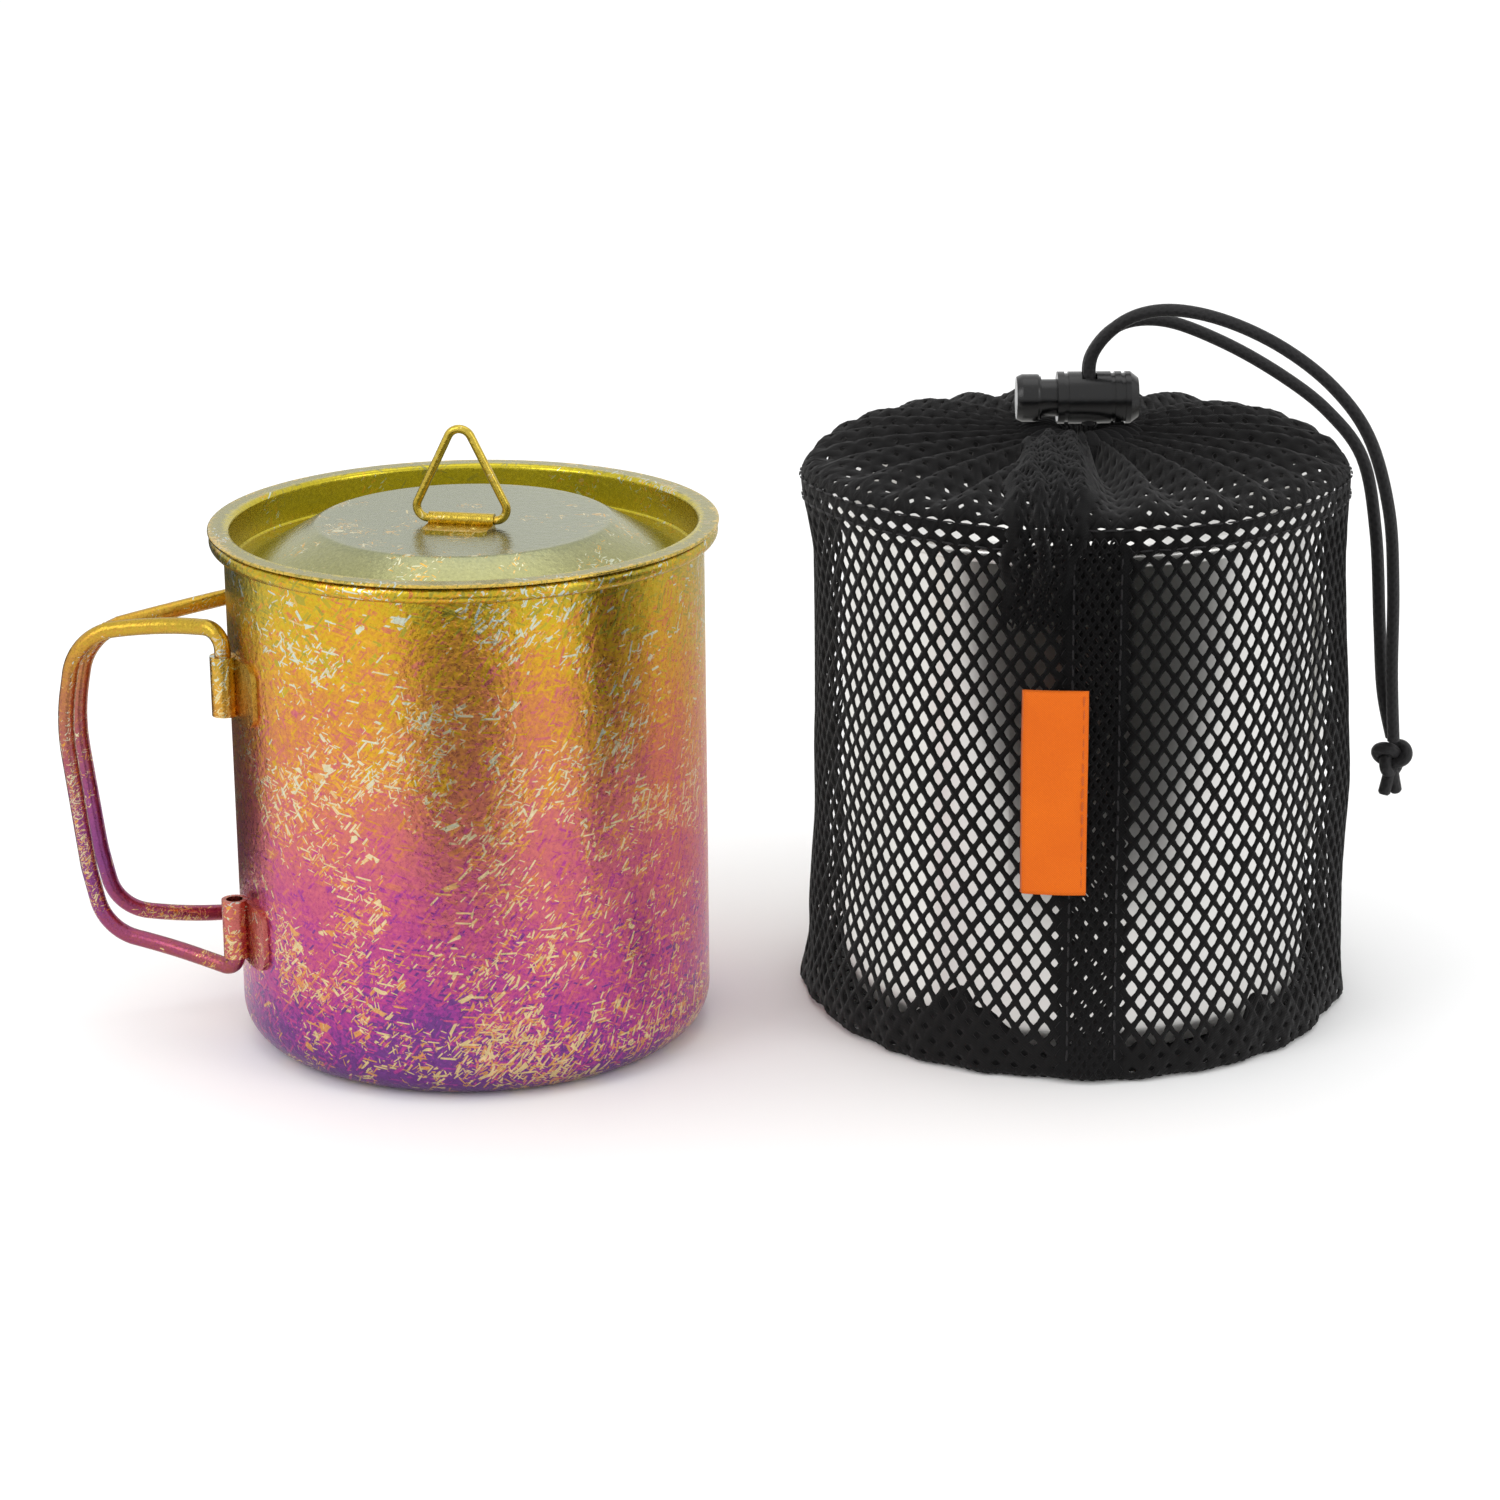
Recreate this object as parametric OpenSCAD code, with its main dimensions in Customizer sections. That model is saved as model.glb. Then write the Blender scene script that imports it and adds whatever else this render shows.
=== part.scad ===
// Cooking pot set: a folding-handle camping pot with its lid, and a drawstring
// mesh bag with a second, folded-up pot packed in it. Millimetres.
// The origin is the centre of the pot's flat base, +Z is up, the handles point to -X
// and the bag stands at +X.

/* [Pot] */
// Outside radius of the body
body_r = 41; // [35:0.5:60]
// Height from the base to the top of the rolled rim
body_h = 90.2; // [60:0.1:140]
// Sheet thickness of the body
sheet_t = 0.4; // [0.3:0.1:1]
// Outside radius of the corner between wall and base
corner_r = 6.8; // [2:0.1:15]
// Tube radius of the rolled rim
bead_r = 1.4; // [0.8:0.1:2.5]

/* [Lid] */
// Outside radius of the lid flange
lid_r = 43.6; // [37:0.1:62]
// Sheet thickness of the lid
lid_t = 0.5; // [0.3:0.1:1]
// Gap between the lid wall and the inside of the pot
lid_gap = 0.3; // [0.1:0.1:1]
// Depth of the well that drops into the pot
lid_depth = 6.4; // [3:0.1:12]
// Radius of the raised plateau
plateau_r = 25.6; // [15:0.1:35]
// Foot radius of the cone that carries the plateau
cone_r = 36.4; // [26:0.1:40]

/* [Lid loop] */
// Wire radius of the triangular lid loop
loop_wire_r = 0.72; // [0.5:0.01:1.5]
// Height from the hinge line to the top of the loop
loop_h = 16.4; // [10:0.1:25]
// Widest outside width of the loop
loop_w = 17.1; // [10:0.1:25]
// Outside radius of the hinge barrel
loop_barrel_r = 1.15; // [0.9:0.01:2]
// Length of the hinge barrel
loop_barrel_l = 11.4; // [6:0.1:16]
// Turn of the loop about the vertical
loop_turn = -12; // [-45:1:45]
// How far the loop's hinge line sits in front of the pot axis
loop_front = 4.6; // [0:0.1:8]

/* [Handles] */
// Wire radius of the handles
handle_r = 1.4; // [1:0.05:2.5]
// Distance of the hinge lines from the pot axis
hinge_r = 43.3; // [38:0.1:62]
// Half the angle between the two hinge lines
hinge_half = 22; // [12:1:40]
// Plan radius of the handle arms, which hug the body when folded
arm_plan_r = 46; // [40:1:80]
// Heading of the arm where it leaves the hinge, from -X towards the other handle
arm_lead = 37.7; // [20:0.1:60]
// How much lower the rear handle's upper arm sits
rear_drop_top = 2.6; // [0:0.1:3]
// How much lower the rear handle's lower arm sits
rear_drop_low = 0.8; // [0:0.1:2]

/* [Lugs] */
// Bottom of the lower barrels
lug_low_z = 17.75; // [5:0.05:40]
// Bottom of the upper barrels
lug_high_z = 61.2; // [40:0.1:80]
// Height of a barrel
lug_h = 10.4; // [6:0.1:16]
// Outside radius of a barrel
lug_barrel_r = 2.25; // [1.9:0.05:3.5]
// Reach of the welded flange along the body
lug_reach = 8.8; // [5:0.1:14]

/* [Bag] */
// Position of the bag centre along X
bag_x = 106; // [95:1:160]
// Position of the bag centre along Y
bag_y = 14; // [-40:1:40]
// Outside radius of the bag
bag_r = 47.2; // [46:0.1:60]
// Height of the shoulder, where the gathered top begins
bag_shoulder = 98; // [90:1:120]
// Thickness of the mesh wall
bag_t = 0.8; // [0.4:0.1:2]
// Cord radius
cord_r = 1.1; // [0.8:0.05:2]

/* [Cord lock] */
// Outside radius of the lock barrel
lock_r = 4.5; // [3.5:0.1:7]
// Travel of the plunger
lock_travel = 2.5; // [1:0.1:4]

/* [Hidden] */
$fn = 96;

gold = [0.72, 0.62, 0.20];
copper = [0.74, 0.45, 0.30];
magenta = [0.66, 0.30, 0.52];
titanium = [0.56, 0.56, 0.57];
black = [0.03, 0.03, 0.035];
orange = [0.93, 0.42, 0.10];

body_in = body_r - sheet_t;
bead_c = body_in + bead_r;
lid_z = body_h + 0.02;
lid_top = lid_z + 0.6;
lid_wall_out = body_in - lid_gap;
floor_top = lid_top - lid_depth;
loop_z = lid_top + loop_barrel_r;
hinge_x = -hinge_r * cos(hinge_half);
hinge_y = -hinge_r * sin(hinge_half);
fold = 149;
bag_in = bag_r - bag_t;
pack_z = 1.2;
hem_z = 99.6;
hem_top = 103.4;
hem_r = 10.5;
neck_r = 3.4;
lock_z = hem_top + lock_r + 0.02;
lock_x = 1.5;
strand_y = 1.2;
wire_lap = 0.1;
wire_step = 0.012;

// ---- helpers ----

function unit(v) = v / norm(v);

// Euler angles that carry X, Y and Z onto the unit vectors ex, ey and ez.
function frame_turn(ex, ey, ez) =
  abs(ex.z) > 0.99999
  ? [ex.z < 0 ? atan2(ey.x, ey.y) : atan2(-ey.x, ey.y), ex.z < 0 ? 90 : -90, 0]
  : [atan2(ey.z, ez.z), -asin(ex.z), atan2(ex.y, ex.x)];

// Length taken from each leg by the bend at corner i.
function bend_cut(p, b, i) =
  i == 0 || i == len(p) - 1 ? 0
  : b[i] * tan(acos(unit(p[i] - p[i - 1]) * unit(p[i + 1] - p[i])) / 2);

module rod(a, b, r) {
  d = unit(b - a);
  ex = unit(cross(abs(d.z) > 0.9 ? [1, 0, 0] : [0, 0, 1], d));
  translate(a)
    rotate(frame_turn(ex, cross(d, ex), d))
      cylinder(r = r, h = norm(b - a), $fn = 32);
}

module elbow(a, c, b, bend, r) {
  d0 = unit(c - a);
  d1 = unit(b - c);
  turn = acos(d0 * d1);
  n = unit(d1 - d0 * (d0 * d1));
  o = c - d0 * bend * tan(turn / 2) + n * bend;
  translate(o)
    rotate(frame_turn(-n, d0, cross(-n, d0)))
      rotate_extrude(angle = turn, $fn = 96)
        translate([bend, 0])
          circle(r = r, $fn = 32);
}

// Round wire along the points p, with bend radius b[i] at each inner point. The
// bends are a hair thicker than the straights, which run a little way into them.
module wire(p, b, r) {
  last = len(p) - 1;
  for (i = [0 : last - 1]) {
    d = unit(p[i + 1] - p[i]);
    start = i == 0 ? 0 : bend_cut(p, b, i) - wire_lap;
    end = i == last - 1 ? 0 : bend_cut(p, b, i + 1) - wire_lap;
    rod(p[i] + d * start, p[i + 1] - d * end, r);
  }
  for (i = [1 : last - 1])
    elbow(p[i - 1], p[i], p[i + 1], b[i], r + wire_step);
}

// Closed round wire with a bend of radius b[i] at each corner p[i].
module wire_ring(p, b, r) {
  n = len(p);
  cut = [
    for (i = [0 : n - 1])
      let (d0 = unit(p[i] - p[(i + n - 1) % n]), d1 = unit(p[(i + 1) % n] - p[i]))
      b[i] * tan(acos(d0 * d1) / 2) - wire_lap
  ];
  for (i = [0 : n - 1]) {
    k = (i + 1) % n;
    d = unit(p[k] - p[i]);
    rod(p[i] + d * cut[i], p[k] - d * cut[k], r);
    elbow(p[i], p[k], p[(i + 2) % n], b[k], r + wire_step);
  }
}

// Point of a Catmull-Rom curve through p, u from 0 to len(p) - 1.
function curve_at(p, u) =
  let (n = len(p) - 1, i = min(floor(u), n - 1), t = u - i)
  let (a = p[max(i - 1, 0)], b = p[i], c = p[i + 1], d = p[min(i + 2, n)])
  0.5 * (2 * b + (c - a) * t + (2 * a - 5 * b + 4 * c - d) * t * t
    + (3 * b - a - 3 * c + d) * t * t * t);

function curve_dir(p, u) =
  let (n = len(p) - 1)
  unit(curve_at(p, min(u + 0.02, n)) - curve_at(p, max(u - 0.02, 0)));

// Soft cord: one eight-sided tube swept along the points p.
module cord(p, r, rings) {
  sides = 8;
  last = len(p) - 1;
  pts = [
    for (k = [0 : rings])
      let (u = k * last / rings, c = curve_at(p, u), d = curve_dir(p, u))
      let (e = unit(cross(d, [0, 1, 0])), f = cross(d, e))
      for (s = [0 : sides - 1])
        c + r * (cos(s * 45 + 22.5) * e + sin(s * 45 + 22.5) * f)
  ];
  quads = [
    for (k = [0 : rings - 1])
      for (s = [0 : sides - 1])
        let (a = k * sides + s, b = k * sides + (s + 1) % sides)
        each [[a, b, b + sides], [a, b + sides, a + sides]]
  ];
  polyhedron(
    points = pts,
    faces = concat(
      [[for (s = [sides - 1 : -1 : 0]) s]],
      quads,
      [[for (s = [0 : sides - 1]) rings * sides + s]]
    )
  );
}

// ---- pot ----

module cup_profile(r, h, c) {
  square([r - c, h]);
  translate([0, c])
    square([r, h - c]);
  translate([r - c, c])
    circle(r = c);
}

module cup_section() {
  difference() {
    cup_profile(body_r, body_h - bead_r, corner_r);
    translate([0, sheet_t])
      cup_profile(body_in, body_h, corner_r - sheet_t);
  }
  // The rim curls outward over the top and stops just short of the wall.
  difference() {
    translate([bead_c, body_h - bead_r])
      circle(r = bead_r, $fn = 48);
    translate([bead_c, body_h - bead_r])
      circle(r = bead_r - sheet_t, $fn = 48);
    translate([body_in - 0.1, body_h - 2 * bead_r - 0.1])
      square([sheet_t + 0.45, bead_r + 0.1]);
  }
}

module shell_shape() {
  rotate_extrude($fn = 180)
    intersection() {
      cup_section();
      square([lid_r + 5, body_h + 1]);
    }
}

// Lug in a frame whose +X is the radius through the hinge line.
module lug_shape(z) {
  difference() {
    union() {
      translate([hinge_r, 0, z])
        cylinder(r = lug_barrel_r, h = lug_h, $fn = 48);
      intersection() {
        difference() {
          cylinder(r = body_r + 0.8, h = 120, $fn = 180);
          translate([0, 0, -1])
            cylinder(r = body_r, h = 122, $fn = 180);
        }
        translate([body_r - 4, 0, z - 0.9])
          rotate([90, 0, 90])
            linear_extrude(height = 6)
              lug_outline();
      }
    }
    translate([hinge_r, 0, z - 1])
      cylinder(r = handle_r + 0.05, h = lug_h + 2, $fn = 48);
    for (k = [0.27, 0.73])
      rotate([0, 0, 8.4])
        translate([body_r + 1.7, 0, z - 0.9 + k * (lug_h + 0.8)])
          sphere(r = 1.25, $fn = 24);
  }
}

module lug_outline() {
  h = lug_h + 0.8;
  c = 2.8;
  square([lug_reach - c, h]);
  translate([0, c])
    square([lug_reach, h - 2 * c]);
  for (y = [c, h - c])
    translate([lug_reach - c, y])
      circle(r = c, $fn = 48);
}

module front_lug(z) {
  rotate([0, 0, 180 + hinge_half])
    lug_shape(z);
}

// Plan position of the front handle's arm, s millimetres from its hinge line.
function arm_at(s, z) =
  let (a = 180 - arm_lead, h = a + s / arm_plan_r * 180 / PI)
  [
    hinge_x + arm_plan_r * (sin(h) - sin(a)),
    hinge_y - arm_plan_r * (cos(h) - cos(a)),
    z
  ];

// Corners of the front handle's wire, its arms lowered by up and low.
function handle_pts(up, low) = [
  arm_at(0, 63.6 - up), arm_at(0, 76.3 - up), arm_at(9.5, 75.6 - up),
  arm_at(19, 74.4 - 1.1 * up), arm_at(28.4, 72.7 - 1.3 * up), arm_at(31.2, 57 - up),
  arm_at(28.4, 31 - low), arm_at(26, 19.4 - low), arm_at(14, 17.1 - low),
  arm_at(0, 15.2 - low), arm_at(0, 26.2 - low)
];

module handle_shape(up = 0, low = 0) {
  top_bend = min(3.4, 4.5 - up);
  wire(handle_pts(up, low), [0, top_bend, 40, 40, 10, 40, 30, 8.5, 40, 2.4, 0], handle_r);
}

module mirror_y() {
  mirror([0, 1, 0])
    children();
}

// Turns a front handle about its hinge line until it lies against the body.
module folded() {
  translate([hinge_x, hinge_y, 0])
    rotate([0, 0, fold])
      translate([-hinge_x, -hinge_y, 0])
        children();
}

// ---- lid ----

function arc_pts(c, r, a0, a1, n) =
  [for (i = [0 : n]) c + r * [cos(a0 + (a1 - a0) * i / n), sin(a0 + (a1 - a0) * i / n)]];

// Section of the lid, from the axis outward along the top and back underneath.
module lid_section() {
  w = lid_wall_out - lid_t;
  slope = atan2(lid_depth, cone_r - plateau_r);
  g = lid_t * tan(slope / 2);
  polygon(concat(
    [[0, lid_top]],
    arc_pts([plateau_r - 0.7, lid_top - 1.5], 1.5, 90, 90 - slope, 5),
    arc_pts([cone_r + 0.4, floor_top + 1.2], 1.2, 270 - slope, 270, 4),
    arc_pts([w - 0.6, floor_top + 0.6], 0.6, 270, 360, 4),
    arc_pts([w + 0.9, lid_top - 0.9], 0.9, 180, 90, 6),
    arc_pts([lid_r - 0.3, lid_z + 0.3], 0.3, 90, -90, 6),
    arc_pts([lid_wall_out + 0.3, lid_z - 0.3], 0.3, 90, 180, 3),
    arc_pts([w - 0.6, floor_top + 0.6], 0.6 + lid_t, 0, -90, 5),
    arc_pts([cone_r + 0.4, floor_top + 1.2], 1.2 + lid_t, 270, 270 - slope, 4),
    arc_pts([plateau_r - 0.7, lid_top - 1.5], 1.5 - lid_t, 90 - slope, 90, 4),
    [[0, lid_top - lid_t]]
  ));
}

module lid_shape() {
  rotate_extrude($fn = 180)
    lid_section();
}

module loop_place(tilt = 0) {
  translate([0, -loop_front, loop_z])
    rotate([0, 0, loop_turn])
      rotate([tilt, 0, 0])
        children();
}

module bracket_shape() {
  l = loop_barrel_l;
  difference() {
    union() {
      translate([-l / 2, 0, 0])
        rotate([0, 90, 0])
          cylinder(r = loop_barrel_r, h = l, $fn = 40);
      translate([-l / 2, -6, -loop_barrel_r])
        linear_extrude(height = 0.5)
          polygon([[0, 6], [0, 0.9], [0.9, 0], [l - 0.9, 0], [l, 0.9], [l, 6]]);
    }
    translate([-l / 2 - 1, 0, 0])
      rotate([0, 90, 0])
        cylinder(r = loop_wire_r + 0.05, h = l + 2, $fn = 40);
    for (x = [-3, 3])
      translate([x, -3.6, 0.5 - loop_barrel_r + 0.7])
        sphere(r = 0.95, $fn = 24);
  }
}

// Triangular loop standing on its hinge wire, closed inside the barrel.
module loop_shape() {
  half = loop_w / 2 - loop_wire_r;
  top = loop_h - loop_wire_r;
  a = half + 1.26;
  b = top + 2.7;
  wire_ring([[-a, 0, 0], [a, 0, 0], [0, 0, b]], [2, 2, 2.2], loop_wire_r);
}

// ---- bag ----

module at_bag() {
  translate([bag_x, bag_y, 0])
    children();
}

module packed() {
  at_bag()
    translate([0, 0, pack_z])
      rotate([0, 0, -110])
        children();
}

module wall_section() {
  t = bag_t;
  s = bag_shoulder;
  slope = atan2(4.4, bag_r - 4 - hem_r);
  polygon(concat(
    arc_pts([bag_r - 3, 3], 3, -90, 0, 5),
    arc_pts([bag_r - 4, s - 4], 4, 0, 90 - slope, 5),
    [[hem_r, s + 4.4], [hem_r, s + 4.4 - t]],
    arc_pts([bag_r - 4, s - 4], 4 - t, 90 - slope, 0, 4),
    arc_pts([bag_r - 3, 3], 3 - t, 0, -60, 4),
    [[bag_r - 2.2, 1], [bag_r - 3, 1]]
  ));
}

// Slice of a ring on the bag's front between two heights and two X positions.
module front_patch(r0, r1, x0, x1, z0, z1) {
  intersection() {
    difference() {
      cylinder(r = r1, h = 200, $fn = 180);
      translate([0, 0, -1])
        cylinder(r = r0, h = 202, $fn = 180);
    }
    translate([x0, -bag_r - 10, z0])
      cube([x1 - x0, bag_r + 10, z1 - z0]);
  }
}

strand_over = [
  [lock_x, -strand_y, hem_top], [lock_x, -strand_y, 109], [2, -1.6, 116],
  [7, -4, 122], [14, -7, 124.5], [23, -10, 123.4], [33, -12, 119],
  [42, -12.5, 112], [48.5, -12, 103], [52.5, -10.5, 90], [54, -9, 76],
  [54.6, -7.5, 60], [55.5, -6.6, 47.4]
];
strand_side = [
  [lock_x, strand_y, hem_top], [lock_x, strand_y, 109], [2, 1.8, 115],
  [7, 4.5, 119.6], [15, 6, 120], [25, 5, 116.4], [35, 2.5, 111],
  [43, 0, 105], [49, -2, 97], [51.5, -3.6, 84], [52.6, -4.4, 68],
  [53.6, -4.4, 56], [55.5, -4.2, 47.4]
];

// ---- nodes ----

module pot_shell() {
  color(copper)
    shell_shape();
}

module lug_front_upper() {
  color(gold)
    front_lug(lug_high_z);
}

module lug_front_lower() {
  color(magenta)
    front_lug(lug_low_z);
}

module lug_rear_upper() {
  color(gold)
    mirror_y()
      front_lug(lug_high_z);
}

module lug_rear_lower() {
  color(magenta)
    mirror_y()
      front_lug(lug_low_z);
}

module handle_front() {
  color(copper)
    handle_shape();
}

module handle_rear() {
  color(magenta)
    mirror_y()
      handle_shape(rear_drop_top, rear_drop_low);
}

module lid_shell() {
  color(gold)
    lid_shape();
}

module lid_bracket() {
  color(gold)
    loop_place()
      bracket_shape();
}

module lid_loop() {
  color(gold)
    loop_place()
      loop_shape();
}

module bag_wall() {
  color(black)
    at_bag()
      rotate_extrude($fn = 120)
        wall_section();
}

module bag_base() {
  color(black)
    at_bag()
      cylinder(r = bag_r - 3, h = 1, $fn = 120);
}

module bag_hem() {
  color(black)
    at_bag()
      rotate_extrude($fn = 72)
        difference() {
          translate([neck_r, hem_z])
            square([hem_r - neck_r, hem_top - hem_z]);
          translate([7, 101.4])
            circle(r = cord_r + 0.05, $fn = 32);
        }
}

module bag_seam_band() {
  color(black)
    at_bag()
      front_patch(bag_r, bag_r + 0.6, -5.2, 4.4, 4, 93);
}

module bag_label() {
  color(orange)
    at_bag() {
      front_patch(bag_r, bag_r + 1.1, -12.4, -5.2, 34, 69.4);
      front_patch(bag_r + 0.6, bag_r + 1.1, -5.2, -1.6, 34, 69.4);
    }
}

module bag_drawcord() {
  color(black)
    at_bag()
      translate([0, 0, 101.4])
        rotate_extrude($fn = 72)
          translate([7, 0])
            circle(r = cord_r, $fn = 32);
}

module cord_lock_barrel() {
  color(black)
    at_bag()
      translate([0, 0, lock_z])
        difference() {
          union() {
            translate([-4, 0, 0])
              rotate([0, 90, 0])
                cylinder(r = lock_r, h = 12.6, $fn = 64);
            translate([8.6, 0, 0])
              rotate([0, 90, 0])
                cylinder(r1 = lock_r, r2 = lock_r - 1.1, h = 1.4, $fn = 64);
          }
          translate([-5, 0, 0])
            rotate([0, 90, 0])
              cylinder(r = 3.25, h = 13, $fn = 48);
          translate([lock_x - 1.3, -2.5, -10])
            cube([2.6, 5, 20]);
          for (x = [-2.8, 5.2, 7])
            translate([x, 0, 0])
              rotate([0, 90, 0])
                difference() {
                  cylinder(r = lock_r + 1, h = 0.7, $fn = 64);
                  translate([0, 0, -1])
                    cylinder(r = lock_r - 0.3, h = 3, $fn = 64);
                }
        }
}

// Plunger section, its axis upright: a rounded head, a neck, a rib and the stem.
module plunger_section() {
  intersection() {
    translate([0, -8.7])
      circle(r = 4.3, $fn = 64);
    translate([0, -11])
      square([4.1, 3.9]);
  }
  translate([0, -7.3])
    square([3.2, 12.3]);
  translate([0, -7.2])
    square([3.7, 0.4]);
}

module cord_lock_plunger() {
  color(black)
    at_bag()
      translate([0, 0, lock_z])
        difference() {
          rotate([0, 90, 0])
            rotate_extrude($fn = 64)
              plunger_section();
          translate([lock_x - 1.3 - lock_travel - 0.1, -2.4, -10])
            cube([2.6 + lock_travel + 0.2, 4.8, 20]);
        }
}

module cord_strand_over() {
  color(black)
    at_bag()
      cord(strand_over, cord_r, 48);
}

module cord_strand_side() {
  color(black)
    at_bag()
      cord(strand_side, cord_r, 48);
}

module cord_knot() {
  color(black)
    at_bag()
      difference() {
        translate([55.5, -5.4, 44])
          sphere(r = 3.9, $fn = 32);
        translate([45, -15, 47.4])
          cube([20, 20, 5]);
      }
}

module packed_pot_shell() {
  color(titanium)
    packed()
      shell_shape();
}

module packed_lug_front_upper() {
  color(titanium)
    packed()
      front_lug(lug_high_z);
}

module packed_lug_front_lower() {
  color(titanium)
    packed()
      front_lug(lug_low_z);
}

module packed_lug_rear_upper() {
  color(titanium)
    packed()
      mirror_y()
        front_lug(lug_high_z);
}

module packed_lug_rear_lower() {
  color(titanium)
    packed()
      mirror_y()
        front_lug(lug_low_z);
}

module packed_handle_front() {
  color(titanium)
    packed()
      folded()
        handle_shape();
}

module packed_handle_rear() {
  color(titanium)
    packed()
      mirror_y()
        folded()
          handle_shape();
}

module packed_lid_shell() {
  color(titanium)
    packed()
      lid_shape();
}

module packed_lid_bracket() {
  color(titanium)
    packed()
      loop_place()
        bracket_shape();
}

module packed_lid_loop() {
  color(titanium)
    packed()
      loop_place(-90)
        loop_shape();
}

pot_shell();
lug_front_upper();
lug_front_lower();
lug_rear_upper();
lug_rear_lower();
handle_front();
handle_rear();
lid_shell();
lid_bracket();
lid_loop();
bag_wall();
bag_base();
bag_hem();
bag_seam_band();
bag_label();
bag_drawcord();
cord_lock_barrel();
cord_lock_plunger();
cord_strand_over();
cord_strand_side();
cord_knot();
packed_pot_shell();
packed_lug_front_upper();
packed_lug_front_lower();
packed_lug_rear_upper();
packed_lug_rear_lower();
packed_handle_front();
packed_handle_rear();
packed_lid_shell();
packed_lid_bracket();
packed_lid_loop();
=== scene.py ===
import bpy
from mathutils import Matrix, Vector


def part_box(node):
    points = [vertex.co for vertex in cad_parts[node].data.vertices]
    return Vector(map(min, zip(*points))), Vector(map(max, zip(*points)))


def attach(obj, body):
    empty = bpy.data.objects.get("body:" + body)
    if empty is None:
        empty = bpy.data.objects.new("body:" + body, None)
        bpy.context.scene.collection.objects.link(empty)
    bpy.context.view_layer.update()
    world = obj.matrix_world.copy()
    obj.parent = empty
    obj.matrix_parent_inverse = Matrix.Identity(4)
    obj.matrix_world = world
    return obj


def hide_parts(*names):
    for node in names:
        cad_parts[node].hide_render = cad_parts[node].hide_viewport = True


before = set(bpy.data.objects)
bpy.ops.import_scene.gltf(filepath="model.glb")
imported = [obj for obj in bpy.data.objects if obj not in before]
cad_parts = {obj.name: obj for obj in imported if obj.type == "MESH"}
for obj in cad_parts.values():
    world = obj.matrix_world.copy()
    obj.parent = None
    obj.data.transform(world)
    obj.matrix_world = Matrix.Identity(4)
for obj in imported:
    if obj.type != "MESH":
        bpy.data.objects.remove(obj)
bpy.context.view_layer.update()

import math
import random
from bisect import bisect_right

import bpy
from mathutils import Matrix, Vector, noise

MM = 0.001
TURN = 2 * math.pi
scene = bpy.context.scene
rng = random.Random(7)

bag_low, bag_high = (Vector(corner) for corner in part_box("bag_wall"))
BAG = Vector(((bag_low.x + bag_high.x) / 2, (bag_low.y + bag_high.y) / 2, 0))


def at_bag(x, y, z):
    """A point given in millimetres from the middle of the bag's base, in metres."""
    return BAG + Vector((x, y, z)) * MM


# ---- camera (metres) ----

LENS = 99
SENSOR = 36
CAMERA_AWAY = 0.718
CAMERA_UP = math.radians(17.8)
CAMERA_ROLL = math.radians(-0.5)
MIDDLE_X = 0.0485
ORBIT_Z = 0.045
AIM_Z = 0.049


def add_camera():
    """Looks a little down on both pieces from the front."""
    cam = bpy.data.cameras.new("camera")
    cam.sensor_width = SENSOR
    cam.lens = LENS
    cam.clip_start = 0.01
    obj = bpy.data.objects.new("camera", cam)
    scene.collection.objects.link(obj)
    away, up = CAMERA_AWAY, CAMERA_UP
    place = Vector((MIDDLE_X, -away * math.cos(up), ORBIT_Z + away * math.sin(up)))
    look = Vector((MIDDLE_X, 0, AIM_Z)) - place
    turn = look.to_track_quat("-Z", "Y").to_matrix()
    roll = Matrix.Rotation(CAMERA_ROLL, 3, "Z")
    obj.matrix_world = Matrix.Translation(place) @ (turn @ roll).to_4x4()
    scene.camera = obj


add_camera()


# ---- node materials ----

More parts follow.
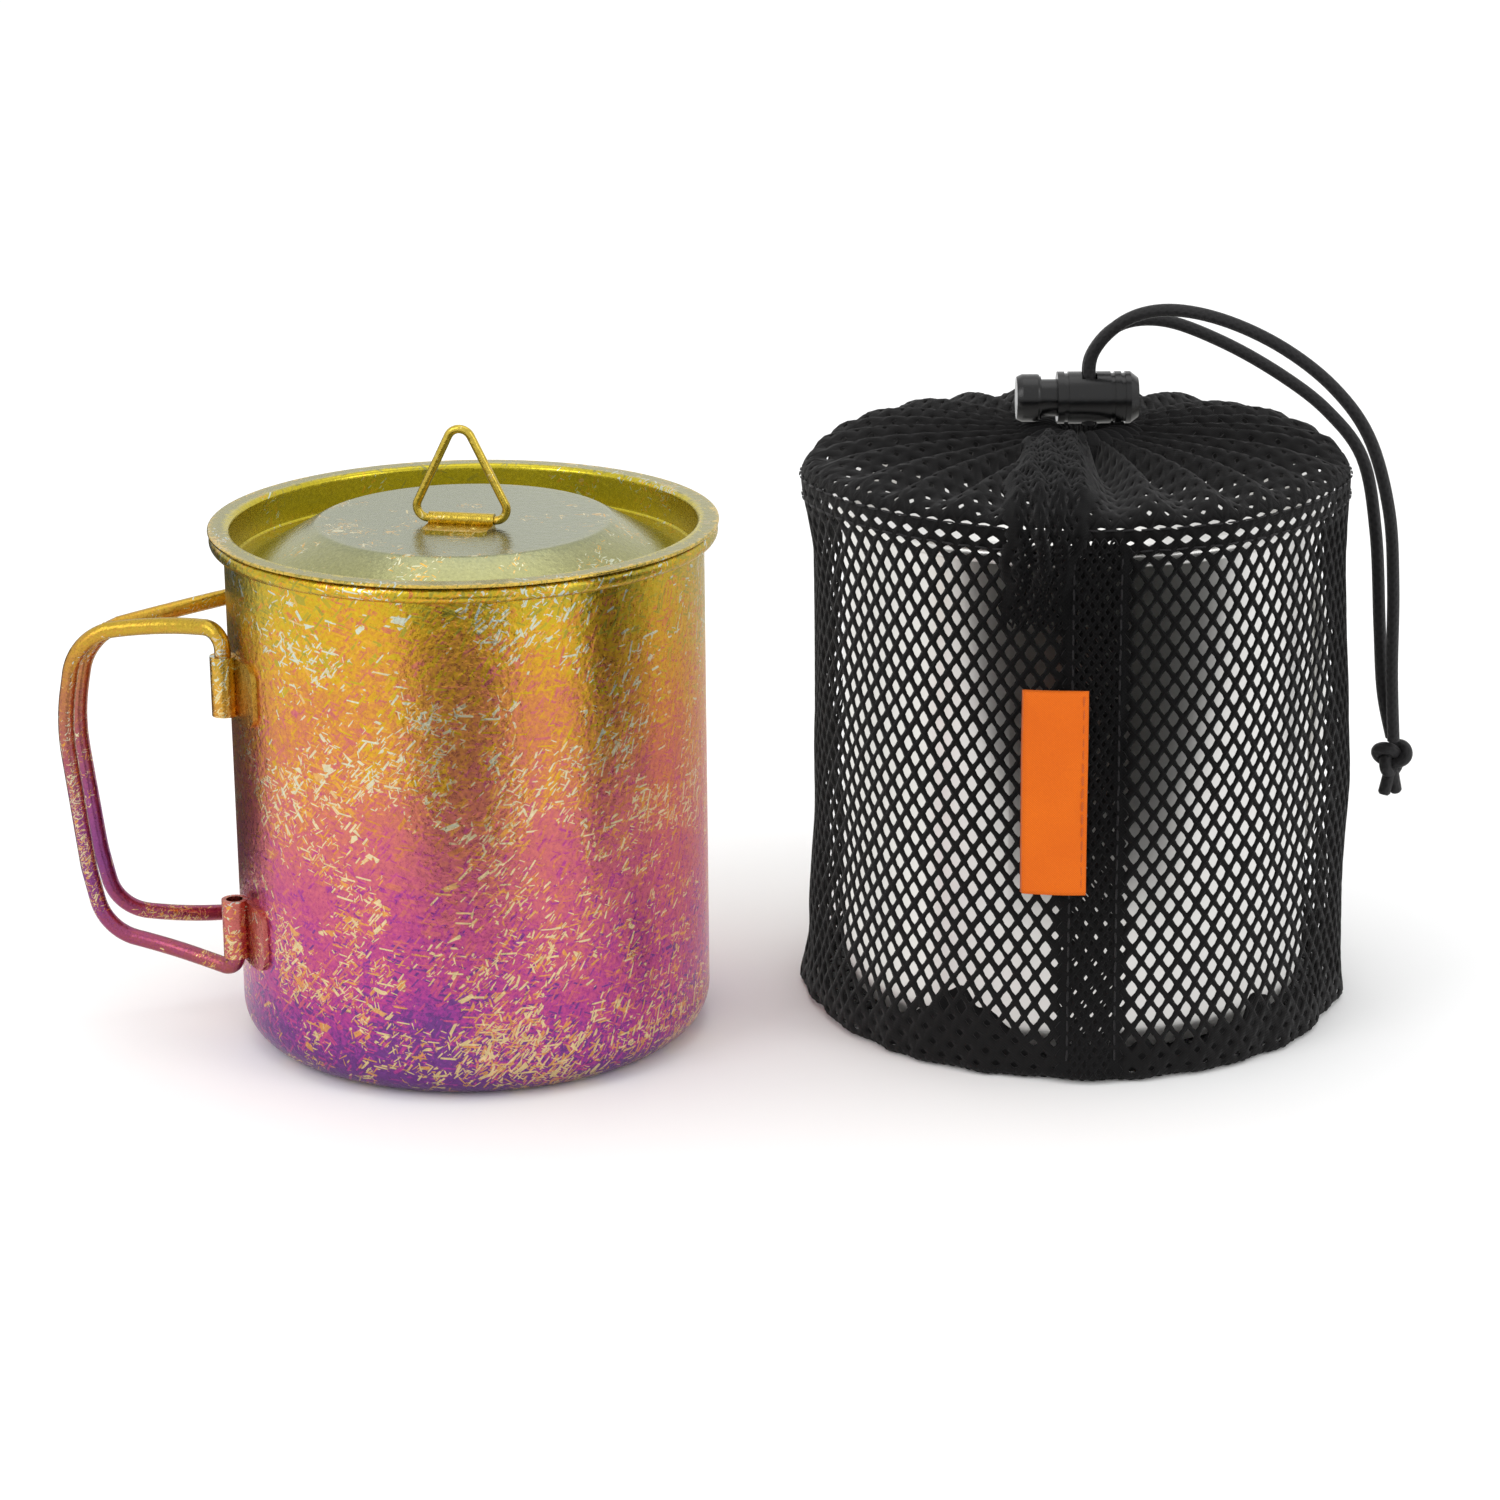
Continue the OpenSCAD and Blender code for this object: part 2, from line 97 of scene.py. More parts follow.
class Mat:
    """A node material, with short ways to add nodes to it."""

    def __init__(self, name):
        self.mat = bpy.data.materials.new(name)
        self.mat.use_nodes = True
        self.tree = self.mat.node_tree
        self.tree.nodes.clear()
        out = self.tree.nodes.new("ShaderNodeOutputMaterial")
        self.bsdf = self.tree.nodes.new("ShaderNodeBsdfPrincipled")
        self.tree.links.new(self.bsdf.outputs[0], out.inputs[0])

    def put(self, node, key, value):
        """Link a value to an input if it comes from a node, and set it if it is plain."""
        socket = node.inputs[key]
        if isinstance(value, bpy.types.NodeSocket):
            self.tree.links.new(value, socket)
        else:
            socket.default_value = value

    def set(self, **values):
        """Put values on the shader. An underscore in a name stands for a space."""
        for key, value in values.items():
            self.put(self.bsdf, key.replace("_", " "), value)

    def node(self, kind, inputs, **properties):
        """Add a node. Its inputs are given by name or by number."""
        node = self.tree.nodes.new(kind)
        for key, value in properties.items():
            setattr(node, key, value)
        for key, value in inputs.items():
            self.put(node, key, value)
        return node

    def coords(self, which="Object"):
        return self.node("ShaderNodeTexCoord", {}).outputs[which]

    def xyz(self, v):
        return self.node("ShaderNodeSeparateXYZ", {0: v}).outputs

    def vec(self, x, y, z):
        return self.node("ShaderNodeCombineXYZ", {0: x, 1: y, 2: z}).outputs[0]

    def length(self, v):
        return self.node("ShaderNodeVectorMath", {0: v}, operation="LENGTH").outputs["Value"]

    def math(self, operation, a, b=0.0, c=0.0, clamp=False):
        node = self.node("ShaderNodeMath", {0: a, 1: b, 2: c}, operation=operation, use_clamp=clamp)
        return node.outputs[0]

    def add(self, a, b, clamp=False):
        return self.math("ADD", a, b, clamp=clamp)

    def sub(self, a, b):
        return self.math("SUBTRACT", a, b)

    def mul(self, a, b, clamp=False):
        return self.math("MULTIPLY", a, b, clamp=clamp)

    def most(self, a, b):
        return self.math("MAXIMUM", a, b)

    def sine(self, a):
        return self.math("SINE", a)

    def step(self, v, lo, hi):
        """Rises smoothly from 0 at lo to 1 at hi."""
        inputs = {0: v, 1: lo, 2: hi}
        return self.node("ShaderNodeMapRange", inputs, interpolation_type="SMOOTHSTEP").outputs[0]

    def mapped(self, v, rot=(0, 0, 0), size=(1, 1, 1)):
        """Coordinates turned first, then divided by a size in metres along each turned axis."""
        node = self.node("ShaderNodeMapping", {0: v}, vector_type="TEXTURE")
        node.inputs["Rotation"].default_value = [math.radians(a) for a in rot]
        node.inputs["Scale"].default_value = size
        return node.outputs[0]

    def noise(self, v, scale, detail=2.0, rough=0.5):
        """Noise from 0 to 1, with scale lumps a metre."""
        inputs = {"Vector": v, "Scale": scale, "Detail": detail, "Roughness": rough}
        return self.node("ShaderNodeTexNoise", inputs).outputs[0]

    def cells(self, v, distance="EUCLIDEAN"):
        """Cells about one unit wide: the distance from the middle, and a colour by chance."""
        node = self.node("ShaderNodeTexVoronoi", {"Vector": v, "Scale": 1.0}, distance=distance)
        return node.outputs["Distance"], node.outputs["Color"]

    def ramp(self, fac, stops):
        node = self.node("ShaderNodeValToRGB", {0: fac})
        elements = node.color_ramp.elements
        while len(elements) < len(stops):
            elements.new(0.5)
        for element, (position, colour) in zip(elements, stops):
            element.position = position
            element.color = (*colour, 1.0)
        return node.outputs[0]

    def mix(self, fac, a, b, blend="MIX"):
        inputs = {0: fac, 6: a, 7: b}
        return self.node("ShaderNodeMix", inputs, data_type="RGBA", blend_type=blend).outputs[2]

    def shade(self, colour, tone):
        """A colour made lighter or darker by a number."""
        return self.mix(1.0, colour, self.vec(tone, tone, tone), "MULTIPLY")

    def bump(self, height, strength, distance, under=None):
        """Relief, on top of another one if that is given."""
        inputs = {"Strength": strength, "Distance": distance, "Height": height}
        if under is not None:
            inputs["Normal"] = under
        return self.node("ShaderNodeBump", inputs).outputs[0]


def srgb(r, g, b):
    def linear(c):
        c /= 255
        return c / 12.92 if c <= 0.04045 else ((c + 0.055) / 1.055) ** 2.4
    return linear(r), linear(g), linear(b)


def col(r, g, b):
    return (*srgb(r, g, b), 1.0)


# ---- metal ----

# Colour of the oxide from the base (0) to the rim (1), and of the palest crystals in it.
BODY_OXIDE = [
    (0.00, srgb(116, 68, 134)), (0.06, srgb(150, 68, 146)), (0.15, srgb(178, 72, 140)),
    (0.27, srgb(192, 88, 128)), (0.40, srgb(200, 106, 114)), (0.54, srgb(204, 118, 98)),
    (0.67, srgb(206, 134, 74)), (0.79, srgb(212, 160, 48)), (0.90, srgb(200, 172, 44)),
    (1.00, srgb(166, 154, 60)),
]
FLECK = [
    (0.0, srgb(224, 204, 138)), (0.4, srgb(226, 212, 160)), (0.72, srgb(208, 216, 192)),
    (1.0, srgb(194, 212, 212)),
]
WARM_FLECK = col(226, 170, 62)
WIRE_OXIDE = [
    (0.00, srgb(160, 88, 82)), (0.10, srgb(152, 74, 100)), (0.24, srgb(132, 70, 124)),
    (0.42, srgb(144, 76, 124)), (0.60, srgb(162, 90, 96)), (0.78, srgb(180, 120, 76)),
    (0.92, srgb(196, 150, 58)), (1.00, srgb(188, 158, 56)),
]
UPPER_LUG_OXIDE = [(0.0, srgb(188, 128, 62)), (0.5, srgb(196, 150, 58)), (1.0, srgb(180, 152, 64))]
LOWER_LUG_OXIDE = [(0.0, srgb(176, 84, 100)), (1.0, srgb(196, 112, 96))]
FITTING_OXIDE = [(0.0, srgb(186, 160, 62)), (1.0, srgb(200, 176, 74))]
# From the middle of the lid (0) to its edge (1).
LID_OXIDE = [
    (0.00, srgb(142, 146, 120)), (0.54, srgb(142, 146, 116)), (0.62, srgb(158, 158, 116)),
    (0.80, srgb(158, 156, 100)), (0.90, srgb(194, 178, 54)), (0.925, srgb(196, 180, 48)),
    (0.945, srgb(146, 142, 84)), (0.985, srgb(156, 148, 80)), (1.00, srgb(216, 184, 88)),
]

# The crystals: flat plates that lie in many directions, given as turns in degrees.
PLATE_TURNS = [
    (12, 34, 8), (70, 15, 55), (25, 80, 110), (50, -40, 150), (-35, 20, 80), (5, -65, 30),
    (-62, 48, 12), (33, 8, 132),
]
PLATE = (0.17, 1.5, 1.0)       # thickness, length and width against their size
PLATE_REACH = (0.22, 0.24)     # how far a plate fills its cell: by chance, and at least
PLATE_EDGE = 14.0
TINTED_SIZE, TINTED_SHARE = 0.0029, 0.52
BIG_SIZE, SMALL_SIZE = 0.0026, 0.0015

# How far each layer moves a point along the colour ramp.
CLOUD_SHIFT = 0.36
FACET_SHIFT = 0.05
BACK_SHIFT = 3.0               # a metre toward the back
TINTED_SHIFT = 0.46
SPECK_SHIFT = 0.30


def shards(m, p, size, turns, share, gate):
    """Flat crystals cut by the surface, as thin angular flecks in many directions.
    Returns how much a point lies in one, and a random number for it."""
    inside, tint = None, None
    for turn in turns:
        plate = m.mapped(p, turn, tuple(k * size for k in PLATE))
        distance, chance = m.cells(plate, "CHEBYCHEV")
        chance = m.xyz(chance)
        reach = m.math("MULTIPLY_ADD", chance[2], *PLATE_REACH)
        near = m.mul(m.sub(reach, distance), PLATE_EDGE, clamp=True)
        picked = m.step(m.add(chance[0], gate), 1.0 - share, 1.0 - share + 0.02)
        hit = m.mul(near, picked)
        inside = hit if inside is None else m.most(inside, hit)
        hit_tint = m.mul(hit, chance[1])
        tint = hit_tint if tint is None else m.most(tint, hit_tint)
    return inside, tint


def oxide_metal(name, ramp, lo, hi, across=False, size=1.0, patch=1.0, share=0.15, rough=0.29,
                grain=1.0):
    """Satin anodised titanium. Its colour follows a ramp from lo to hi, in metres of height, or of
    radius if across is set, and is broken into crystals. size scales the crystals, patch is how far
    they move the colour, share is how many are pale, and grain is the depth of the relief."""
    m = Mat(name)
    p = m.coords()
    x, y, z = m.xyz(p)
    way = m.length(m.vec(x, y, 0.0)) if across else z
    t = m.math("DIVIDE", m.sub(way, lo), hi - lo)

    clouds = m.sub(m.noise(p, 34.0), 0.5)
    facets = m.cells(m.mapped(p, (20, 35, 10), (0.011, 0.011, 0.016)))[1]
    facet = m.sub(m.xyz(facets)[0], 0.5)
    t = m.add(t, m.mul(clouds, CLOUD_SHIFT * patch))
    t = m.add(t, m.mul(facet, FACET_SHIFT * patch))
    if not across:
        t = m.add(t, m.mul(m.add(y, 0.020), BACK_SHIFT * patch))

    # The pale crystals gather in drifts, a little more of them toward the base.
    drift = m.mul(m.sub(m.noise(p, 70.0, 4.0, 0.62), 0.53), 1.32)
    low_drift = m.add(drift, m.mul(m.sub(0.60, t), 0.04))

    tinted = shards(m, p, TINTED_SIZE * size, PLATE_TURNS[:6], TINTED_SHARE, m.mul(drift, 0.6))
    t = m.add(t, m.mul(tinted[0], m.mul(m.sub(tinted[1], 0.56), TINTED_SHIFT * patch)))
    specks = m.sub(m.noise(p, 1300.0 / size, 3.0, 0.7), 0.5)
    t = m.add(t, m.mul(specks, SPECK_SHIFT * patch))
    base = m.ramp(t, ramp)

    big = shards(m, p, BIG_SIZE * size, PLATE_TURNS[:5], share, low_drift)
    small = shards(m, p, SMALL_SIZE * size, PLATE_TURNS[3:], 0.8 * share, low_drift)
    fleck = m.most(big[0], small[0])
    warm = m.mix(0.82, base, WARM_FLECK)
    pale = m.mix(m.step(m.most(big[1], small[1]), 0.38, 0.58), warm, m.ramp(t, FLECK))
    colour = m.mix(m.mul(fleck, 0.85), base, pale)
    m.set(Base_Color=m.shade(colour, m.add(0.92, m.mul(specks, 0.75))), Metallic=1.0)
    m.set(Roughness=m.add(rough, m.mul(specks, 0.22), clamp=True))

    pits = m.bump(m.noise(p, 2400.0, 3.0, 0.65), 0.30 * grain, 0.0001)
    ripple = m.bump(m.noise(p, 800.0, 2.0, 0.55), 0.42 * grain, 0.0003, pits)
    raised = m.most(fleck, m.mul(tinted[0], 0.5))
    m.set(Normal=m.bump(raised, 0.16 * grain, 0.0001, ripple))
    return m.mat


def plain_titanium(name):
    """Bare sheet, satin, with faint lathe lines round the axis."""
    m = Mat(name)
    p = m.coords()
    x, y, z = m.xyz(p)
    lines = m.noise(m.vec(m.mul(x, 0.04), m.mul(y, 0.04), z), 9000.0)
    cloud = m.noise(p, 60.0, 3.0)
    tone = m.add(0.92, m.mul(m.sub(cloud, 0.5), 0.16))
    m.set(Base_Color=m.shade(col(222, 221, 218), tone), Metallic=1.0)
    m.set(Roughness=m.add(0.27, m.mul(lines, 0.10)))
    m.set(Normal=m.bump(lines, 0.12, 0.0001))
    return m.mat


# ---- cloth, cord and plastic ----

BRAID_ALONG = 620              # crossings a metre of cord
BRAID_ROUND = 6


def fabric(name, dark, light, weave, sheen, rough, depth):
    """Woven or knitted yarn: threads that cross every weave metres, with fuzz and uneven colour."""
    m = Mat(name)
    p = m.coords()
    x, y, z = m.xyz(p)
    k = math.pi / weave
    one_way = m.math("ABSOLUTE", m.sine(m.mul(m.add(x, m.add(y, z)), k)))
    other_way = m.math("ABSOLUTE", m.sine(m.mul(m.sub(m.sub(x, y), z), k)))
    threads = m.mul(one_way, other_way)
    fuzz = m.noise(p, 4200.0, 3.0, 0.65)
    patch = m.noise(p, 90.0, 3.0)
    lift = m.add(m.mul(threads, 0.6), m.mul(fuzz, 0.6))
    lightness = m.mul(lift, m.add(0.45, m.mul(patch, 0.6)), clamp=True)
    m.set(Base_Color=m.mix(lightness, dark, light), Roughness=rough, Specular_IOR_Level=0.22)
    m.set(Sheen_Weight=sheen, Sheen_Roughness=0.4)
    m.set(Normal=m.bump(lift, depth, 0.0002))
    return m.mat


def braid(name):
    """Braided cord sleeve, its pattern laid along the cord's own length."""
    m = Mat(name)
    u, v, _ = m.xyz(m.coords("UV"))
    along = m.mul(u, TURN * BRAID_ALONG)
    around = m.mul(v, TURN * BRAID_ROUND)
    weave = m.most(m.sine(m.add(along, around)), m.sine(m.sub(along, around)))
    fuzz = m.noise(m.coords(), 5200.0, 3.0)
    lift = m.add(m.mul(weave, 0.35), fuzz)
    m.set(Base_Color=m.mix(m.mul(lift, 0.6, clamp=True), col(5, 5, 6), col(30, 28, 30)))
    m.set(Roughness=0.55, Specular_IOR_Level=0.3, Sheen_Weight=0.06)
    m.set(Normal=m.bump(lift, 0.5, 0.00015))
    return m.mat


def plastic(name, tone):
    """Moulded nylon with a fine spark-eroded grain and scuffed patches."""
    m = Mat(name)
    p = m.coords()
    grain = m.noise(p, 5200.0, 2.0, 0.6)
    scuff = m.noise(p, 700.0, 4.0, 0.7)
    m.set(Base_Color=m.mix(m.step(scuff, 0.55, 0.9), tone, col(26, 26, 28)))
    m.set(Roughness=m.add(0.13, m.mul(scuff, 0.20)), Specular_IOR_Level=0.42)
    m.set(Normal=m.bump(grain, 0.20, 0.0001))
    return m.mat


def add_mesh(name, verts, faces, mat, smooth=True):
    mesh = bpy.data.meshes.new(name)
    mesh.from_pydata([tuple(v) for v in verts], [], faces)
    mesh.update()
    mesh.polygons.foreach_set("use_smooth", [smooth] * len(mesh.polygons))
    obj = bpy.data.objects.new(name, mesh)
    scene.collection.objects.link(obj)
    obj.data.materials.append(mat)
    return obj


# ---- cords (millimetres from the middle of the bag's base) ----

CORD_R = 1.1
CORD_POINTS = 90
CORD_SIDES = 14
OVER = [
    (1.5, -1.2, 103.4), (1.5, -1.2, 109), (2, -1.6, 116), (7, -4, 122), (14, -7, 124.5),
    (23, -10, 123.4), (33, -12, 119), (42, -12.5, 112), (48.5, -12, 103), (52.5, -10.5, 90),
    (54, -9, 76), (54.6, -7.5, 60), (55.5, -6.6, 47.4),
]
SIDE = [
    (1.5, 1.2, 103.4), (1.5, 1.2, 109), (2, 1.8, 115), (7, 4.5, 119.6), (15, 6, 120),
    (25, 5, 116.4), (35, 2.5, 111), (43, 0, 105), (49, -2, 97), (51.5, -3.6, 84),
    (52.6, -4.4, 68), (53.6, -4.4, 56), (55.5, -4.2, 47.4),
]
KNOT = (55.5, -5.4, 44.0)
KNOT_SIZE = 0.92
KNOT_POINTS = 72
TAIL_TOP, TAIL_LONG = 1.5, 5.2
TAIL_STEPS = (0, 0.2, 0.4, 0.6, 0.8, 0.93, 1.0)
TAILS = {"cord_tail_left": (-1.3, -0.8), "cord_tail_right": (1.1, 0.6)}


def spline_at(p, u):
    """A point on the smooth curve through points p, at u counted in points."""
    n = len(p) - 1
    i = min(int(u), n - 1)
    t = u - i
    a, b, c, d = p[max(i - 1, 0)], p[i], p[i + 1], p[min(i + 2, n)]
    return 0.5 * (2 * b + (c - a) * t + (2 * a - 5 * b + 4 * c - d) * t * t
                  + (3 * b - a - 3 * c + d) * t * t * t)


def spline(points, count):
    """Points spread along the smooth curve through the ones given."""
    p = [Vector(q) for q in points]
    return [spline_at(p, k * (len(p) - 1) / (count - 1)) for k in range(count)]


def lengths_along(line):
    """How far along a line each of its points lies."""
    along = [0.0]
    for a, b in zip(line, line[1:]):
        along.append(along[-1] + (b - a).length)
    return along


def tube(name, line, radius, mat, closed=False, taper=None):
    """Mesh tube along a line of points in metres, with UVs along and around it. taper(t) scales
    its radius, t from 0 to 1."""
    n, sides = len(line), CORD_SIDES
    verts, faces, uvs = [], [], []
    side = None
    for i, point in enumerate(line):
        if closed:
            ahead = line[(i + 1) % n] - line[i - 1]
        else:
            ahead = line[min(i + 1, n - 1)] - line[max(i - 1, 0)]
        ahead.normalize()
        if side is None:
            side = ahead.orthogonal().normalized()
        side = (side - ahead * side.dot(ahead)).normalized()
        up = ahead.cross(side)
        r = radius * (taper(i / (n - 1)) if taper else 1.0)
        for s in range(sides):
            w = TURN * s / sides
            verts.append(point + (side * math.cos(w) + up * math.sin(w)) * r)
    along = lengths_along(line + line[:1])
    for i in range(n if closed else n - 1):
        j = (i + 1) % n
        u0, u1 = along[i], along[i + 1]
        for s in range(sides):
            t = (s + 1) % sides
            v0, v1 = s / sides, (s + 1) / sides
            faces.append((i * sides + s, i * sides + t, j * sides + t, j * sides + s))
            uvs.append(((u0, v0), (u0, v1), (u1, v1), (u1, v0)))
    if not closed:
        faces.append(tuple(range(sides))[::-1])
        faces.append(tuple((n - 1) * sides + s for s in range(sides)))
        uvs += [((0, 0),) * sides] * 2
    obj = add_mesh(name, verts, faces, mat)
    layer = obj.data.uv_layers.new(name="UVMap")
    layer.data.foreach_set("uv", [c for face in uvs for uv in face for c in uv])
    return obj


def knot_at(t):
    """A point of an overhand knot, t from 0 to a full turn."""
    s = KNOT_SIZE
    return at_bag(
        KNOT[0] + s * (math.sin(t) + 2 * math.sin(2 * t)),
        KNOT[1] - s * math.sin(3 * t),
        KNOT[2] + s * (math.cos(t) - 2 * math.cos(2 * t)),
    )


def add_cords(mat):
    loop = [knot_at(TURN * k / KNOT_POINTS) for k in range(KNOT_POINTS)]
    knot = tube("cord_knot_wraps", loop, CORD_R * MM, mat, closed=True)
    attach(knot, "bag")
    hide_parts("cord_knot")
    tails = []
    for name, (dx, dy) in TAILS.items():
        line = [at_bag(KNOT[0] + dx * t, KNOT[1] + dy * t, KNOT[2] - TAIL_TOP - TAIL_LONG * t)
                for t in TAIL_STEPS]
        tail = tube(name, line, CORD_R * MM, mat, taper=lambda t: 1.0 if t < 0.9 else 0.72)
        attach(tail, "bag")
        tails.append(tail)
    for name, points, node, extra in (
        ("cord_over", OVER, "cord_strand_over", [knot] + tails),
        ("cord_side", SIDE, "cord_strand_side", []),
    ):
        line = [at_bag(*q) for q in spline(points, CORD_POINTS)]
        cord = tube(name, line, CORD_R * MM, mat)
        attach(cord, "bag")
        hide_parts(node)


cord_mat = braid("braided_cord")
add_cords(cord_mat)


# ---- the CAD's hard parts ----

def give(name, mat):
    """Put a material on a CAD node."""
    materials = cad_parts[name].data.materials
    materials.clear()
    materials.append(mat)


def dress_hard_parts():
    body = oxide_metal("titanium_oxide_body", BODY_OXIDE, 0.0, 0.0905)
    wire = oxide_metal("titanium_oxide_wire", WIRE_OXIDE, 0.013, 0.078, size=0.45, patch=0.30,
                       share=0.10, rough=0.30)
    upper = oxide_metal("titanium_oxide_upper_lug", UPPER_LUG_OXIDE, 0.060, 0.072, size=0.8,
                        patch=0.4, share=0.12, rough=0.28)
    lower = oxide_metal("titanium_oxide_lower_lug", LOWER_LUG_OXIDE, 0.016, 0.029, size=0.8,
                        patch=0.5, share=0.24, rough=0.28)
    lid = oxide_metal("titanium_oxide_lid", LID_OXIDE, 0, 0.0436, across=True, size=0.7,
                      patch=0.10, share=0.012, rough=0.25, grain=0.6)
    fitting = oxide_metal("titanium_oxide_fittings", FITTING_OXIDE, 0.090, 0.110, size=0.5,
                          patch=0.3, share=0.08, rough=0.24)
    bare = plain_titanium("titanium_bare")
    lock = plastic("lock_plastic", col(6, 6, 7))

    give("pot_shell", body)
    for side in ("front", "rear"):
        give(f"lug_{side}_upper", upper)
        give(f"lug_{side}_lower", lower)
        give(f"handle_{side}", wire)
    give("lid_shell", lid)
    give("lid_bracket", fitting)
    give("lid_loop", fitting)
    give("cord_lock_barrel", lock)
    give("cord_lock_plunger", lock)
    give("bag_drawcord", cord_mat)
    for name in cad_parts:
        if name.startswith("packed_"):
            give(name, bare)


dress_hard_parts()


# ---- bag cloth (millimetres; angles run round the bag, with the front at -90 degrees) ----

net_mat = fabric("knitted_net", col(3, 3, 4), col(22, 20, 20), 0.0005, 0.03, 0.75, 0.5)
cloth_mat = fabric("woven_nylon", col(2, 2, 3), col(18, 17, 18), 0.0006, 0.03, 0.8, 0.5)
label_mat = fabric("woven_label", col(196, 78, 0), col(240, 122, 2), 0.0004, 0.03, 0.5, 0.3)
thread_mat = fabric("stitch_thread", col(10, 10, 12), col(52, 50, 52), 0.0003, 0.06, 0.6, 0.4)
label_thread = fabric("label_thread", col(170, 66, 6), col(220, 110, 30), 0.0003, 0.2, 0.5, 0.3)

# Outline of the cloth as radius and height, from the bottom edge over the shoulder to the mouth.
PROFILE = [
    (45.4, 0.35), (46.3, 1.2), (46.6, 4), (46.5, 12), (46.3, 30), (46.2, 50), (46.2, 70),
    (46.4, 86), (46.6, 94), (46.3, 96.8), (45.0, 98.5), (42.0, 99.4), (34, 100.3),
    (24, 100.5), (15, 100.4), (9, 100.3), (5, 100.1), (1.6, 99.6),
]
PROFILE_POINTS = 901
SHOULDER_R, SHOULDER_Z = 46.2, 97
GATHER = 36.0                  # from the shoulder inward, until the pleats are full
PLEATS = 26
WIRES = (11, 129)              # where the folded handles push the cloth out, in degrees
FRONT = -90

profile = spline([(r, z, 0) for r, z in PROFILE], PROFILE_POINTS)
profile_lengths = lengths_along(profile)


def along_profile(v):
    """Radius and height of the cloth, v up its own length."""
    v = max(0.0, min(profile_lengths[-1], v))
    i = min(bisect_right(profile_lengths, v), len(profile) - 1)
    start, end = profile_lengths[i - 1], profile_lengths[i]
    f = (v - start) / max(end - start, 1e-9)
    a, b = profile[i - 1], profile[i]
    return a.x + (b.x - a.x) * f, a.y + (b.y - a.y) * f


def bell(x, mid, wide):
    return math.exp(-((x - mid) / wide) ** 2)


def degrees_from(a, deg):
    return (math.degrees(a) - deg + 180) % 360 - 180


def bulge(a, deg, wide):
    """A soft rise from 0 to 1 about an angle in degrees."""
    return bell(degrees_from(a, deg), 0, wide)


def front_x(a):
    """Arc distance from the bag's front line."""
    return degrees_from(a, FRONT) * math.pi / 180 * 46.5


def wave(a, z, k, seed):
    """Smooth noise round the bag, from -1 to 1. k is how many waves, about."""
    return noise.noise(Vector((math.cos(a) * k + seed, math.sin(a) * k - seed, z * 0.02 * k + seed)))


def rumple(x, y, seed):
    """Smooth noise over a flat piece, from -1 to 1."""
    return noise.noise(Vector((x, y, seed)))


def wall_swell(a, z):
    """How far the cloth stands out from its round shape."""
    out = 0.9 * wave(a, z, 1.3, 3.1) + 0.55 * wave(a, z, 3.5, 8.2)
    low = math.exp(-z / 11)
    out += low * (1.7 + 1.6 * wave(a, z, 4.5, 1.7) + 0.3 * math.sin(31 * a + 4 * wave(a, z, 3, 4.4)))
    for deg in WIRES:
        out += 1.2 * bulge(a, deg, 7) * bell(z, 47, 30)
    out += 1.5 * bulge(a, -168, 30) * (bell(z, 99, 10) - 0.6 * bell(z, 74, 16))
    out += 1.3 * bulge(a, -6, 26) * (bell(z, 40, 26) - 0.4 * bell(z, 82, 10))
    out += 0.45 * math.sin(7 * a + 1.1 + 0.02 * z) * bell(z, 80, 30)
    return max(out, -0.35)


def pleat_phase(a):
    return PLEATS * a + 1.6 * wave(a, 0, 2.2, 5.5)


def pleat_depth(r):
    """The cloth is as wide over the shoulder as below it, so its pleats deepen toward the mouth."""
    return TURN * r / PLEATS / 4 * math.sqrt(max((SHOULDER_R / r) ** 2 - 1, 0.0))


def bag_point(a, v, lift=0.0):
    """A point of the cloth at angle a, v millimetres up its length, in metres."""
    r, z = along_profile(v)
    gathered = max(0.0, min(1.0, (SHOULDER_R - r) / GATHER)) if z > SHOULDER_Z else 0.0
    swell = wall_swell(a, z) * (1 - gathered)
    r += swell * (0.35 if z > 99 else 1.0)
    if gathered > 0:
        phase = pleat_phase(a)
        deep = pleat_depth(r) * (1.0 + 0.35 * wave(a, 0, 5, 2.0))
        z += deep * math.sin(phase) - 0.15 * deep
        r += 0.5 * math.cos(phase) * gathered
        a += 0.10 * gathered + 0.02 * math.cos(phase) * gathered
    r += lift
    return at_bag(r * math.cos(a), r * math.sin(a), max(z, 0.25))


def seam_point(x, v, lift):
    """A point of the cloth at x beside the front line and v up its length, in metres."""
    return bag_point(math.radians(FRONT) + x / 46.9, v, lift)


# ---- how cloth is made ----

HOLE_RING = [(2, 0), (1, 1), (0, 2), (-1, 1), (-2, 0), (-1, -1), (0, -2), (1, -1)]
ROUND = 0.555                  # how full a hole is: 0.5 is a diamond and 0.707 an ellipse
HOLE_EDGE = [(1, 0), (ROUND, ROUND), (0, 1), (-ROUND, ROUND), (-1, 0), (-ROUND, -ROUND), (0, -1),
             (ROUND, -ROUND)]
WIDE_HOLE = (0.31, 0.62)       # half a hole, in columns and rows
DENSE_HOLE = (0.62 * 1.6, 0.62 * 1.6)
SMALLEST_HOLE = 0.12
YARN_RISE = 0.16               # how far the yarn stands out between two holes, in mm


def thicken(obj, thick, offset):
    solid = obj.modifiers.new("thickness", "SOLIDIFY")
    solid.thickness = thick * MM
    solid.offset = offset


def net_cells(columns, rows, longer_even_rows=False):
    """Middles of staggered cells, counted in quarter columns and half rows."""
    cells = []
    for j in rows:
        extra = 1 - j % 2 if longer_even_rows else 0
        for i in range(columns + extra):
            cells.append((4 * i + 2 * (j % 2), 2 * j))
    return cells


